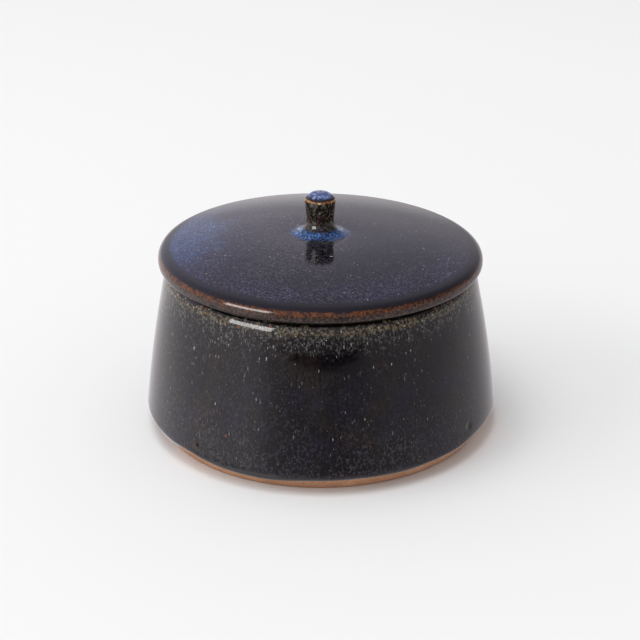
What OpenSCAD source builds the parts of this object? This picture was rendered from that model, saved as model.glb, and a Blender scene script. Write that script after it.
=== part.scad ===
// Lidded stoneware jar: a thrown clay jar and its lid, each under fused coats of glaze.
// Origin: centre of the foot, on the table. +Z is up, along the axis of the wheel.

/* [Jar] */
// Widest diameter, over the glaze
belly_d = 140; // [136:1:146]
// Height of the widest ring above the table
belly_h = 9; // [8:0.5:12]
// Radius of the turn from the foot into the wall
belly_round = 3; // [2:0.5:5]
// Diameter of the ring that the jar stands on
foot_d = 127.6; // [122:0.4:129]
// Width of the flat ring that touches the table
foot_ring_w = 6; // [4:0.5:9]
// Depth of the turned hollow under the foot
foot_hollow = 1.6; // [0.8:0.2:2.6]
// Diameter that the wall reaches at the rim
rim_d = 120.8; // [119.6:0.2:123]
// Radius of the rim's outer edge, in the clay
rim_round = 5.9; // [5.6:0.1:6.6]
// How far below the seat the centre of that radius lies
rim_drop = 5.4; // [4.8:0.1:5.5]
// Height of the jar, up to the seat of the lid
jar_h = 66; // [58:0.2:80]
// How far the wall bows out from a straight cone
wall_bow = 0.9; // [0.2:0.1:1.4]
// Thickness of the clay wall
wall_t = 4.6; // [4:0.2:6]
// Thickness of the clay floor
floor_t = 6; // [4:0.5:8]
// Radius where the floor turns up into the wall
floor_round = 10; // [6:1:16]
// Diameter of the mouth in the clay
mouth_d = 110.4; // [107:0.2:111.4]

/* [Lid] */
// Diameter of the lid, over the glaze
lid_d = 127; // [125:0.2:132]
// Height of the lid's edge above the seat
brim_h = 5.8; // [5.6:0.1:7]
// Height of the middle of the lid above the seat
lid_rise = 11.6; // [10:0.1:15]
// Thickness of the clay in the middle of the lid
lid_t = 5.4; // [4:0.2:7]
// Depth of the flange that drops into the mouth
flange_h = 6; // [4:0.5:9]
// Thickness of the flange
flange_t = 3.4; // [2.8:0.2:5]
// Gap all round between the flange and the glazed mouth
flange_gap = 0.7; // [0.4:0.1:1.2]
// How far the lid is lifted off its seat
lift = 0; // [0:1:80]

/* [Knob] */
// Height of the knob above the lid
knob_h = 17.1; // [13:0.1:22]
// Diameter of the knob at the edge of its cap
knob_cap_d = 12.2; // [11.2:0.1:15]
// Diameter of the knob at its waist
knob_waist_d = 10.6; // [8:0.1:11]
// Height of the domed top of the knob
knob_dome_h = 2.7; // [2:0.1:5]
// Radius of the flare where the knob meets the lid
knob_flare = 6.2; // [2.4:0.1:8]

/* [Glaze] */
// Thickness of the outer coats
glaze_t = 0.6; // [0.4:0.1:0.8]
// Thickness of the coats inside the jar and the lid
liner_t = 0.4; // [0.3:0.1:0.6]
// Height of the bare clay band above the table
bare_h = 5; // [3:0.2:6]

/* [Hidden] */
$fn = 128;

clay_color = "#b0764f";
glaze_color = "#23222a";
liner_color = "#2c2f38";
seat_clear = 0.1;       // the jar's coats end this far below the seat
foot_bevel = 0.5;       // the foot's outer edge is wiped to this chamfer
mouth_round = 0.8;      // inner edge of the rim
rim_lip_round = 1;      // where the rim's edge meets the seat
brim_foot_round = 2.4;  // lower edge of the brim
brim_top_round = 3.8;   // upper edge of the brim
flange_taper = 0.5;     // the flange narrows by this much on its way down
flange_round = 1.2;     // lower edges of the flange
lid_cove = 2.2;         // radius where the lid's hollow meets the flange
knob_edge_round = 0.8;  // edge of the knob's cap
level_w = 1;            // outlines run level for this far where they meet the axis or the knob

seat_z = jar_h;
lid_r = lid_d / 2;
mouth_r = mouth_d / 2;
clay_belly_r = belly_d / 2 - glaze_t;
clay_rim_r = rim_d / 2 - glaze_t;
floor_z = foot_hollow + floor_t;
lid_top_z = seat_z + lid_rise;
flange_r = mouth_r - liner_t - flange_gap;
flange_in_r = flange_r - flange_t;
hollow_z = lid_top_z - glaze_t - lid_t;
brim_flat_r = lid_r - brim_foot_round - 0.2;
knob_foot_r = knob_waist_d / 2 + knob_flare;
knob_join_r = knob_foot_r + 0.4;
knob_top_z = lid_top_z + knob_h;
knob_cap_z = knob_top_z - knob_dome_h;

// ---- outlines, as [radius, height] points ----

function unit(v) = v / norm(v);
function from_second(points) = [for (i = [1 : len(points) - 1]) points[i]];
function backwards(points) = [for (i = [len(points) - 1 : -1 : 0]) points[i]];

// Arc about c, from angle a to angle b, in n steps.
function arc(c, r, a, b, n = 6) =
    [for (i = [0 : n]) c + r * [cos(a + (b - a) * i / n), sin(a + (b - a) * i / n)]];

// Corner v of the path p, v, q, rounded to radius r.
function corner(p, v, q, r, n = 5) =
    let (
        a = unit(p - v),
        b = unit(q - v),
        half = acos(a * b) / 2,
        c = v + unit(a + b) * r / sin(half),
        from = v + a * r / tan(half) - c,
        to = v + b * r / tan(half) - c,
        start = atan2(from[1], from[0]),
        turn = atan2(to[1], to[0]) - start,
        sweep = turn > 180 ? turn - 360 : turn < -180 ? turn + 360 : turn
    ) arc(c, r, start, start + sweep, n);

// Line from p to q that bows out to its right by up to sag.
function bowed(p, q, sag, n = 8) =
    let (side = unit([q[1] - p[1], p[0] - q[0]]))
    [for (i = [0 : n]) p + (q - p) * i / n + side * 4 * sag * (i / n) * (1 - i / n)];

// Open line moved to its right by d, keeping one point for each of its own.
function beside(points, d) =
    let (last = len(points) - 1)
    [for (i = [0 : last])
        let (
            a = unit(points[max(i, 1)] - points[max(i, 1) - 1]),
            b = unit(points[min(i, last - 1) + 1] - points[min(i, last - 1)]),
            m = unit(a + b)
        ) points[i] + [m[1], -m[0]] * d / (a * m)];

// Slope of the wall at each end, and the angle at which the foot's cone meets the belly.
belly_c = [clay_belly_r - belly_round, belly_h];
foot_p = [foot_d / 2, 0];
wall_run = [clay_rim_r - clay_belly_r, seat_z - belly_h];
wall_lean = atan(-wall_run[0] / wall_run[1]);
bow_lean = atan(4 * wall_bow / norm(wall_run));
to_foot = foot_p - belly_c;
foot_turn = atan2(to_foot[1], to_foot[0]) + acos(belly_round / norm(to_foot));

belly = arc(belly_c, belly_round, foot_turn, wall_lean - bow_lean);
wall = bowed(belly[len(belly) - 1], [clay_rim_r, seat_z], wall_bow);
// The rim's edge leaves the straight end of the wall, and the coat ends on it where the coat's
// face comes level with the seat. From there bare clay runs on, straight, to the seat.
rim_line = wall[len(wall) - 1] - wall[len(wall) - 2];
rim_start = atan2(-rim_line[0], rim_line[1]);
rim_stop = asin((rim_drop - seat_clear) / (rim_round + glaze_t));
rim_c_z = seat_z - rim_drop;
rim_leave_z = rim_c_z + rim_round * sin(rim_start);
rim_leave_r = clay_rim_r - rim_line[0] * (seat_z - rim_leave_z) / rim_line[1];
rim_c = [rim_leave_r - rim_round * cos(rim_start), rim_c_z];
rim_coated = arc(rim_c, rim_round, rim_start, rim_stop, 7);
rim_end = rim_coated[len(rim_coated) - 1];
rim_lip = [rim_end[0] - (seat_z - rim_end[1]) * tan(rim_stop), seat_z];
rim_bare = concat([rim_end], corner(rim_end, rim_lip, [0, seat_z], rim_lip_round, 3));
foot_dir = unit(belly[0] - foot_p);
bare_p = foot_p + foot_dir * bare_h / foot_dir[1];
jar_coated = concat(
    [bare_p],
    belly,
    [for (i = [1 : len(wall) - 2]) wall[i]],
    rim_coated
);

// Inside of the jar, from the rim down to the middle of the floor.
inner_foot_r = clay_belly_r - wall_t - 0.6;
inner_wall = bowed([mouth_r, seat_z - mouth_round], [inner_foot_r, floor_z], -wall_bow);
inner_bend = corner(inner_wall[7], inner_wall[8], [0, floor_z], floor_round);
jar_lined = concat(
    [for (i = [0 : 6]) inner_wall[i]],
    inner_bend,
    [[0, floor_z]]
);

// Top of the lid, from under the brim to the flare of the knob.
brim_top = [lid_r, seat_z + brim_h];
lid_bow = (lid_rise - brim_h) / 4;
lid_dome = bowed(brim_top, [knob_join_r + level_w, lid_top_z], lid_bow, 12);
lid_skin = concat(
    [[brim_flat_r, seat_z]],
    corner([0, seat_z], [lid_r, seat_z], brim_top, brim_foot_round, 6),
    corner([lid_r, seat_z], brim_top, lid_dome[1], brim_top_round),
    from_second(lid_dome),
    [[knob_join_r, lid_top_z]]
);
lid_clay = beside(lid_skin, -glaze_t);

// Hollow under the lid, from the flange to the middle.
hollow_edge = [flange_in_r, seat_z + lid_cove * 1.4];
hollow_skin = bowed(hollow_edge, [level_w, hollow_z], (hollow_z - hollow_edge[1]) / 4);
lid_hollow = concat(
    [[flange_in_r, seat_z]],
    corner([flange_in_r, seat_z], hollow_edge, hollow_skin[1], lid_cove),
    from_second(hollow_skin),
    [[0, hollow_z]]
);

// Knob, from its flare to the middle of its top.
knob_flare_c = [knob_foot_r, lid_top_z + knob_flare];
knob_cap = [knob_cap_d / 2, knob_cap_z];
knob_dome = bowed(knob_cap, [level_w / 2, knob_top_z], knob_dome_h / 3.6);
knob_skin = concat(
    [[knob_join_r, lid_top_z]],
    arc(knob_flare_c, knob_flare, 270, 180),
    corner(knob_flare_c - [knob_flare, 0], knob_cap, knob_dome[1], knob_edge_round, 3),
    from_second(knob_dome),
    [[0, knob_top_z]]
);
knob_clay = beside(knob_skin, -glaze_t);

module lathe(points) {
    rotate_extrude() polygon(points);
}

module coat(points, thickness) {
    lathe(concat(points, backwards(beside(points, thickness))));
}

// ---- jar ----

module jar_body() {
    color(clay_color) lathe(concat(
        [
            [0, foot_hollow],
            [foot_d / 2 - foot_ring_w - foot_hollow, foot_hollow],
            [foot_d / 2 - foot_ring_w, 0],
            [foot_d / 2 - foot_bevel, 0],
            foot_p + foot_dir * foot_bevel
        ],
        jar_coated,
        from_second(rim_bare),
        arc([mouth_r + mouth_round, seat_z - mouth_round], mouth_round, 90, 180, 3),
        from_second(jar_lined)
    ));
}

module jar_glaze() {
    color(glaze_color) coat(jar_coated, glaze_t);
}

module jar_liner() {
    color(liner_color) coat(jar_lined, liner_t);
}

// ---- lid ----

module lid_plate() {
    color(clay_color) translate([0, 0, lift]) lathe(concat(
        [[brim_flat_r, seat_z]],
        lid_clay,
        [[0, lid_top_z - glaze_t]],
        backwards(lid_hollow)
    ));
}

module lid_flange() {
    foot_z = seat_z - flange_h;
    outer = [flange_r - flange_taper, foot_z];
    inner = [flange_in_r, foot_z];
    color(clay_color) translate([0, 0, lift]) lathe(concat(
        [[flange_r, seat_z]],
        [[flange_in_r, seat_z]],
        corner([flange_in_r, seat_z], inner, outer, flange_round, 4),
        corner(inner, outer, [flange_r, seat_z], flange_round, 4)
    ));
}

module lid_glaze() {
    color(glaze_color) translate([0, 0, lift])
        lathe(concat(lid_skin, backwards(lid_clay)));
}

module lid_liner() {
    color(liner_color) translate([0, 0, lift]) coat(lid_hollow, -liner_t);
}

// ---- knob ----

module lid_knob() {
    color(clay_color) translate([0, 0, lift])
        lathe(concat([[0, lid_top_z - glaze_t]], knob_clay));
}

module knob_glaze() {
    color(glaze_color) translate([0, 0, lift])
        lathe(concat(knob_skin, backwards(knob_clay)));
}

jar_body();
jar_glaze();
jar_liner();
lid_plate();
lid_flange();
lid_knob();
lid_glaze();
knob_glaze();
lid_liner();
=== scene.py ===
"""Looks of a lidded stoneware jar: thrown clay under speckled glaze, on a pale studio table.

Outlines are [radius, height] points in millimetres and are turned about Z.
Everything in Blender is in metres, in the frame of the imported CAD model.
"""
import math

import bpy
import numpy as np
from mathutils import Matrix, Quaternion, Vector


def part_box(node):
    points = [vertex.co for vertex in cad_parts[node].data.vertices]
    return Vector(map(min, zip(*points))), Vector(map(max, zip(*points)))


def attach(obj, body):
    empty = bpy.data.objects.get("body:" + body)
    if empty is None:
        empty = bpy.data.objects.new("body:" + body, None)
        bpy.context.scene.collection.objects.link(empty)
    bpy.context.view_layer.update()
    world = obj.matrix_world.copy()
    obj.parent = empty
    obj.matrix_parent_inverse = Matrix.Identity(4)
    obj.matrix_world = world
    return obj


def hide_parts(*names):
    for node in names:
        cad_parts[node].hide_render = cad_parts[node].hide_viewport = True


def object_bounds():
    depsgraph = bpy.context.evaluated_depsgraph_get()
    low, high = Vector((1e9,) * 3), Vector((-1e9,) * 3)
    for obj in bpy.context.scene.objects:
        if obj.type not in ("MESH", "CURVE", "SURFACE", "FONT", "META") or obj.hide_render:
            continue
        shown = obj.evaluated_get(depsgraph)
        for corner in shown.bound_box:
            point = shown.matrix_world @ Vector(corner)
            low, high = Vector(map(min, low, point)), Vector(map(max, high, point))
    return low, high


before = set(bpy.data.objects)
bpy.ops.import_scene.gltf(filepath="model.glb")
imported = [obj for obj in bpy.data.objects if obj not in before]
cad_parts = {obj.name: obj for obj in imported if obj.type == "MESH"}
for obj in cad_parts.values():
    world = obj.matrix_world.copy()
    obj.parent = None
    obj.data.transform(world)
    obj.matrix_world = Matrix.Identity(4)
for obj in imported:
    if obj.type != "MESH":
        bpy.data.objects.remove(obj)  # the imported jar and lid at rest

MM = 0.001
cad_low, cad_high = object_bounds()


# ---- sizes read from the frame, in millimetres ----

def reach(node):
    """Largest radius, lowest height and highest height of a CAD node."""
    low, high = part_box(node)
    return high.x / MM, low.z / MM, high.z / MM


belly_r = reach("jar_glaze")[0]
clay_belly_r, _, seat_z = reach("jar_body")
glaze_t = belly_r - clay_belly_r
_, floor_z, _ = reach("jar_liner")
lid_r, _, lid_top_z = reach("lid_glaze")
knob_join_r, _, knob_top_z = reach("knob_glaze")
flange_r, flange_foot_z, _ = reach("lid_flange")
flange_in_r, _, hollow_z = reach("lid_liner")

# ---- shape of the jar, in millimetres and degrees ----

BELLY_H = 9.0           # height of the widest ring
BELLY_ROUND = 3.0       # turn from the foot's cone into the wall
FOOT_R = 63.8           # ring that the jar stands on
FOOT_RING_W = 6.0       # width of that ring
FOOT_HOLLOW = 1.6       # depth of the hollow inside it
FOOT_SLOPE_W = 2.4      # from the ring up into the hollow
FOOT_BEVEL = 0.5        # the foot's outer edge is wiped to this chamfer
RIM_R = 60.4            # glazed wall, carried up to the seat
RIM_ROUND = 5.9         # outer edge of the rim, and how far below the seat its centre lies
RIM_DROP = 5.4
RIM_LIP_ROUND = 1.0     # where the rim's edge meets the seat
SEAT_CLEAR = 0.1        # the jar's coat ends this far below the seat
WALL_BOW = 0.9          # how far the wall bows out
MOUTH_R = 55.2          # clay edge of the mouth
MOUTH_ROUND = 0.8
INNER_FOOT_R = 64.2     # inner wall, carried down to the floor
FLOOR_ROUND = 10.0      # turn from the inner wall into the floor
LINER_T = 0.4           # thickness of the coats inside the jar and under the lid

# ---- shape of the lid and the knob ----

BRIM_H = 5.8            # top edge of the brim above the seat
BRIM_FOOT_ROUND = 2.4
BRIM_TOP_ROUND = 3.8
LID_COVE = 2.2
FLANGE_TAPER = 0.5
FLANGE_ROUND = 1.2
KNOB_CAP_R = 6.1
KNOB_WAIST_R = 5.3
KNOB_DOME_H = 2.7
KNOB_FLARE = 6.2
KNOB_EDGE_ROUND = 0.8
LEVEL_W = 1.0           # outlines run level for this far at the axis and the knob

# ---- how the hand shows ----

SEAT_TILT = 0.0050      # the rim dips towards +X, metre for metre
LID_TILT = 0.0150       # and so does the top of the lid, which is thicker on one side
OUT_OF_ROUND = 0.12     # how far the wall is out of round
TURN_LINES = 0.0015     # height of the throwing lines in the wall
COARSE, FINE = 7.3, 3.1  # and how far apart they lie
INSET = 0.03            # every surface stays this far inside the CAD's own radius
ROLL_T = 0.35           # the glaze is this much thicker in the roll above its edge
ROLL_AT = 1.7           # how far above the edge the roll is thickest
ROLL_W = 1.3            # how far the roll reaches up and down from there
ROLL_ROUND = 1.0        # over this distance the edge rounds off to the clay
WIPED = [(66, 17), (-52, 11)]  # degrees from the front where the edge was wiped thin, and how wide
WIPED_ROUND = 4.5       # there the edge rounds off over this much more
COAT_ROUND = 0.8        # the edges of the lid's coats round off over this distance
RIM_BARE = 0.3          # the jar's coat stops this far before the end of its outline
BURIED = 0.08           # hidden faces of a coat sit this deep in the clay
SEGMENTS = 480          # points in each ring
SHARP_ANGLE = 50        # edges that turn by more degrees than this are drawn sharp

# Marks fired into the jar's coat: degrees from the front towards +X, and height
CRATER = (-42.4, 12.0)
DIMPLE = (54.6, 13.6)
HALO = (-43.2, 11.3)
RED_SPECK = (-31.2, 19.6)
PITS = [(CRATER, 1.0, 0.32), (DIMPLE, 1.3, 0.40)]  # radius and depth of those that are pressed in
PIT_LIP = 0.05          # height of the lip raised round a pit

# Where the glaze stops above the foot: [degrees from the front towards +X, height].
GLAZE_LINE = [
    (-180, 4.6), (-145, 5.3), (-110, 4.3), (-74, 2.4), (-60, 3.0), (-54, 5.2), (-46, 6.4), (-38, 4.7),
    (-29, 4.5), (-19, 4.0), (-7, 5.0), (4, 5.6), (19, 5.6), (27, 4.9), (36, 6.3), (50, 6.6),
    (62, 7.8), (74, 7.8), (90, 5.8), (105, 4.8), (145, 5.2), (180, 4.6),
]
LINE_SMOOTH = 9         # the line is smoothed over this many points of a ring


# ---- outlines ----

def unit(v):
    return v / np.linalg.norm(v)


def arc(centre, radius, start, end, n=10):
    """Points of an arc from one angle to another, in degrees."""
    a = np.radians(np.linspace(start, end, n + 1))
    return np.asarray(centre, float) + radius * np.stack([np.cos(a), np.sin(a)], 1)


def corner(p, v, q, radius, n=10):
    """Corner v of the path p, v, q, rounded."""
    p, v, q = (np.asarray(x, float) for x in (p, v, q))
    a, b = unit(p - v), unit(q - v)
    half = math.acos(float(a @ b)) / 2
    centre = v + unit(a + b) * radius / math.sin(half)
    leave = v + a * radius / math.tan(half) - centre
    meet = v + b * radius / math.tan(half) - centre
    start = math.degrees(math.atan2(leave[1], leave[0]))
    turn = math.degrees(math.atan2(meet[1], meet[0])) - start
    turn = (turn + 180) % 360 - 180
    return arc(centre, radius, start, start + turn, n)


def bowed(p, q, sag, n=24):
    """Line from p to q that bows out to its right."""
    p, q = np.asarray(p, float), np.asarray(q, float)
    side = unit(np.array([q[1] - p[1], p[0] - q[0]]))
    t = np.linspace(0, 1, n + 1)[:, None]
    return p + (q - p) * t + side * 4 * sag * t * (1 - t)


def path(*runs):
    """Joins runs of points into one outline, and drops repeated points."""
    points = np.concatenate([np.atleast_2d(np.asarray(r, float)) for r in runs])
    keep = np.r_[True, np.linalg.norm(np.diff(points, axis=0), axis=1) > 1e-6]
    return points[keep]


class Line:
    """An outline that can be read at any distance along it, with its right-hand normal."""

    def __init__(self, points):
        self.points = points
        self.s = np.r_[0, np.cumsum(np.linalg.norm(np.diff(points, axis=0), axis=1))]
        self.length = self.s[-1]
        along = np.gradient(points, self.s, axis=0)
        along /= np.linalg.norm(along, axis=1)[:, None]
        self.normals = np.stack([along[:, 1], -along[:, 0]], 1)

    def at(self, s, out=0.0):
        """Radius and height at distance s, moved out along the normal."""
        r, z = (np.interp(s, self.s, self.points[:, k]) for k in (0, 1))
        n, m = (np.interp(s, self.s, self.normals[:, k]) for k in (0, 1))
        return r + n * out, z + m * out

    def steps(self, step, start=0.0, end=None):
        """Distances along the line that take in its own points, no further apart than step."""
        end = self.length if end is None else end
        marks = np.r_[start, self.s[(self.s > start + 1e-6) & (self.s < end - 1e-6)], end]
        spaced = [np.linspace(a, b, max(1, math.ceil((b - a) / step)) + 1)[:-1]
                  for a, b in zip(marks[:-1], marks[1:])]
        return np.r_[np.concatenate(spaced), end]


# ---- outlines of the jar ----

clay_rim_r = RIM_R - glaze_t
belly_c = np.array([clay_belly_r - BELLY_ROUND, BELLY_H])
foot_p = np.array([FOOT_R, 0.0])
wall_run = np.array([clay_rim_r - clay_belly_r, seat_z - BELLY_H])
wall_lean = math.degrees(math.atan(-wall_run[0] / wall_run[1]))
bow_lean = math.degrees(math.atan(4 * WALL_BOW / np.linalg.norm(wall_run)))
to_foot = foot_p - belly_c
foot_turn = math.degrees(math.atan2(to_foot[1], to_foot[0])
                         + math.acos(BELLY_ROUND / np.linalg.norm(to_foot)))
belly = arc(belly_c, BELLY_ROUND, foot_turn, wall_lean - bow_lean)
wall = bowed(belly[-1], [clay_rim_r, seat_z], WALL_BOW)
rim_line = wall[-1] - wall[-4]
rim_start = math.degrees(math.atan2(-rim_line[0], rim_line[1]))
rim_stop = math.degrees(math.asin((RIM_DROP - SEAT_CLEAR) / (RIM_ROUND + glaze_t)))
rim_leave_z = seat_z - RIM_DROP + RIM_ROUND * math.sin(math.radians(rim_start))
rim_leave_r = clay_rim_r - rim_line[0] * (seat_z - rim_leave_z) / rim_line[1]
rim_c = [rim_leave_r - RIM_ROUND * math.cos(math.radians(rim_start)), seat_z - RIM_DROP]
rim_edge = arc(rim_c, RIM_ROUND, rim_start, rim_stop, 24)
rim_lip = [rim_edge[-1, 0] - (seat_z - rim_edge[-1, 1]) * math.tan(math.radians(rim_stop)), seat_z]
rim_bare = corner(rim_edge[-1], rim_lip, [0, seat_z], RIM_LIP_ROUND, 6)
wall_below_rim = wall[wall[:, 1] < rim_edge[0, 1] - 0.5]
foot_dir = unit(belly[0] - foot_p)

clay_outside = Line(path(foot_p + foot_dir * FOOT_BEVEL, belly, wall_below_rim, rim_edge))
inner_wall = bowed([MOUTH_R, seat_z - MOUTH_ROUND], [INNER_FOOT_R, floor_z], -WALL_BOW)
clay_inside = Line(path(
    arc([MOUTH_R + MOUTH_ROUND, seat_z - MOUTH_ROUND], MOUTH_ROUND, 90, 180, 5),
    inner_wall[:-3],
    corner(inner_wall[-4], inner_wall[-1], [0, floor_z], FLOOR_ROUND),
    [0, floor_z],
))
ring_in_p = [FOOT_R - FOOT_RING_W, 0]                     # inner edge of the foot ring
hollow_p = [ring_in_p[0] - FOOT_SLOPE_W, FOOT_HOLLOW]     # where its slope meets the hollow
clay_under = path(
    [0, FOOT_HOLLOW],
    corner([0, FOOT_HOLLOW], hollow_p, ring_in_p, 2.0, 5),
    corner(hollow_p, ring_in_p, [FOOT_R, 0], 1.0, 4),
    [FOOT_R - 0.45 * FOOT_RING_W, 0],
    corner([0, 0], foot_p, belly[0], FOOT_BEVEL, 4),
)

# ---- outlines of the lid and the knob ----

brim_top = [lid_r, seat_z + BRIM_H]
lid_bow = (lid_top_z - seat_z - BRIM_H) / 4
lid_dome = bowed(brim_top, [knob_join_r + LEVEL_W, lid_top_z], lid_bow, 48)
brim_flat_r = lid_r - BRIM_FOOT_ROUND - 0.2
lid_skin = Line(path(
    [brim_flat_r, seat_z],
    corner([0, seat_z], [lid_r, seat_z], brim_top, BRIM_FOOT_ROUND, 14),
    corner([lid_r, seat_z], brim_top, lid_dome[4], BRIM_TOP_ROUND, 14),
    lid_dome[3:],
    [knob_join_r, lid_top_z],
))
hollow_edge = [flange_in_r, seat_z + LID_COVE * 1.4]
hollow_skin = bowed(hollow_edge, [LEVEL_W, hollow_z], (hollow_z - hollow_edge[1]) / 4)
lid_hollow = Line(path(
    [flange_in_r, seat_z],
    corner([flange_in_r, seat_z], hollow_edge, hollow_skin[2], LID_COVE),
    hollow_skin[3:],
    [0, hollow_z],
))
knob_foot_r = KNOB_WAIST_R + KNOB_FLARE
knob_flare_c = np.array([knob_foot_r, lid_top_z + KNOB_FLARE])
knob_cap = [KNOB_CAP_R, knob_top_z - KNOB_DOME_H]
knob_dome = bowed(knob_cap, [LEVEL_W / 2, knob_top_z], KNOB_DOME_H / 3.6, 16)
knob_skin = Line(path(
    [knob_join_r, lid_top_z],
    arc(knob_flare_c, KNOB_FLARE, 270, 180, 16),
    corner(knob_flare_c - [KNOB_FLARE, 0], knob_cap, knob_dome[2], KNOB_EDGE_ROUND, 8),
    knob_dome[2:],
    [0, knob_top_z],
))


def on_wall(mark):
    """Place of a mark on the outside of the jar's coat."""
    turn, z = math.radians(mark[0]), mark[1]
    r = np.interp(z, clay_outside.points[:, 1], clay_outside.points[:, 0]) + glaze_t
    return (r * math.sin(turn), -r * math.cos(turn), z)


# ---- turning outlines into meshes ----

theta = np.linspace(0, 2 * np.pi, SEGMENTS, endpoint=False)
front_angle = (np.degrees(theta) + 90 + 180) % 360 - 180  # 0 at the front, + towards +X


def grid(r, z):
    """Radii and heights, one row per ring, as full grids over the turn."""
    r = np.broadcast_to(np.reshape(r, (len(r), -1)), (len(r), SEGMENTS))
    z = np.broadcast_to(np.reshape(z, (len(z), -1)), (len(z), SEGMENTS))
    return r, z


def dented(r, z):
    """Radii of the jar's coat with its two fired-in marks pressed in, each with a raised lip."""
    x, y = r * np.cos(theta), r * np.sin(theta)
    for mark, size, depth in PITS:
        centre = on_wall(mark)
        away = np.sqrt((x - centre[0]) ** 2 + (y - centre[1]) ** 2 + (z - centre[2]) ** 2)
        lip = PIT_LIP * np.exp(-((away / size - 2) / 0.7) ** 2)
        r = r - depth * np.exp(-(away / size) ** 2) + lip
    return r


def by_hand(r, z):
    """Places grid points as a potter leaves them: a dipping rim, out of round, with throwing lines."""
    up = np.clip(z / seat_z, 0, 1)
    share = np.clip((z - BELLY_H) / 20, 0, 1) * np.clip((seat_z - 4 - z) / 8, 0, 1)
    wobble = -OUT_OF_ROUND * (0.5 + 0.5 * np.cos(2 * theta + 0.7)) * share * (r > MOUTH_R)
    fine = np.sin(2 * np.pi * z / FINE + theta)
    coarse = np.sin(2 * np.pi * z / COARSE - theta + 1)
    lines = TURN_LINES * (fine + 0.6 * coarse) - 2 * TURN_LINES
    r = r + wobble + lines * share - INSET
    x, y = r * np.cos(theta), r * np.sin(theta)
    above = np.clip((z - seat_z) / BRIM_H, 0, 1)
    tilt = SEAT_TILT * up * up * (3 - 2 * up) + (LID_TILT - SEAT_TILT) * above
    return np.stack([x, y, np.minimum(z - tilt * x, cad_high.z / MM)], -1) * MM


def turned(name, body, r, z, material, stands_for, loop=False):
    """A mesh from rings of points. Rings of no radius become one point, and a loop closes on itself."""
    r, z = grid(r, z)
    points = by_hand(r, z)
    verts, rings = [], []
    for ring, radius in zip(points, r.max(1)):
        if radius < 1e-6:
            rings.append([len(verts)] * SEGMENTS)
            verts.append(ring.mean(0))
        else:
            rings.append(list(range(len(verts), len(verts) + SEGMENTS)))
            verts.extend(ring)
    pairs = list(zip(rings[:-1], rings[1:]))
    if loop:
        pairs.append((rings[-1], rings[0]))
    faces = []
    for low, high in pairs:
        for j in range(SEGMENTS):
            k = (j + 1) % SEGMENTS
            face = [low[j], low[k], high[k], high[j]]
            face = [v for i, v in enumerate(face) if v != face[i - 1]]
            if len(face) > 2:
                faces.append(face)
    mesh = bpy.data.meshes.new(name)
    mesh.from_pydata([tuple(v) for v in verts], [], faces)
    mesh.validate()
    mesh.polygons.foreach_set("use_smooth", [True] * len(mesh.polygons))
    mesh.materials.append(material)
    piece = bpy.data.objects.new(name, mesh)
    bpy.context.scene.collection.objects.link(piece)
    mesh.set_sharp_from_angle(angle=math.radians(SHARP_ANGLE))
    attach(piece, body)
    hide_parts(*stands_for)
    return piece


# ---- node trees ----

class Nodes:
    """A node tree under construction. Inputs may be numbers, colours or other nodes' outputs."""

    def __init__(self, tree):
        self.tree = tree

    def node(self, kind, props=None, **inputs):
        n = self.tree.nodes.new(kind)
        for key, value in (props or {}).items():
            setattr(n, key, value)
        for key, value in inputs.items():
            self.put(n.inputs[key.replace("_", " ")], value)
        return n

    def put(self, socket, value):
        if isinstance(value, bpy.types.NodeSocket):
            self.tree.links.new(value, socket)
        elif isinstance(value, (tuple, list)) and socket.type == "RGBA":
            socket.default_value = (*value, 1)
        else:
            socket.default_value = value

    def math(self, operation, a, b=None, clamp=False):
        n = self.tree.nodes.new("ShaderNodeMath")
        n.operation = operation
        n.use_clamp = clamp
        self.put(n.inputs[0], a)
        if b is not None:
            self.put(n.inputs[1], b)
        return n.outputs[0]

    def add(self, a, b):
        return self.math("ADD", a, b)

    def sub(self, a, b):
        return self.math("SUBTRACT", a, b)

    def mul(self, a, b):
        return self.math("MULTIPLY", a, b)

    def all_of(self, *shares):
        """Product of several shares."""
        product = shares[0]
        for share in shares[1:]:
            product = self.mul(product, share)
        return product

    def less(self, share, loss):
        """1 where share is 0, and lower by loss where it is 1."""
        return self.sub(1.0, self.mul(share, loss))

    def swing(self, noise, width):
        """Noise as an offset that swings about 0 and is about width wide."""
        return self.mul(self.sub(noise, 0.5), width)

    def vector(self, operation, a, b=None, scale=None, out=0):
        n = self.tree.nodes.new("ShaderNodeVectorMath")
        n.operation = operation
        self.put(n.inputs[0], a)
        if b is not None:
            self.put(n.inputs[1], b)
        if scale is not None:
            self.put(n.inputs["Scale"], scale)
        return n.outputs[out]

    def step(self, value, low, high):
        """0 below low, 1 above high, smooth between. low may be above high."""
        n = self.node("ShaderNodeMapRange", {"interpolation_type": "SMOOTHSTEP"}, Value=value)
        self.put(n.inputs["From Min"], low)
        self.put(n.inputs["From Max"], high)
        return n.outputs[0]

    def mix(self, share, a, b):
        """Colour a where share is 0, and colour b where it is 1."""
        n = self.node("ShaderNodeMix", {"data_type": "RGBA", "clamp_factor": True})
        self.put(n.inputs["Factor"], share)
        self.put(n.inputs[6], a)
        self.put(n.inputs[7], b)
        return n.outputs[2]

    def curve(self, value, stops, low, high):
        """Brightness read from stops of [value, brightness], between low and high."""
        n = self.node("ShaderNodeValToRGB", Fac=self.math("DIVIDE", self.sub(value, low), high - low))
        ramp = n.color_ramp
        while len(ramp.elements) < len(stops):
            ramp.elements.new(0.5)
        for element, (at, level) in zip(ramp.elements, stops):
            element.position = (at - low) / (high - low)
            element.color = (level, level, level, 1)
        return n.outputs[0]


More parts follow.
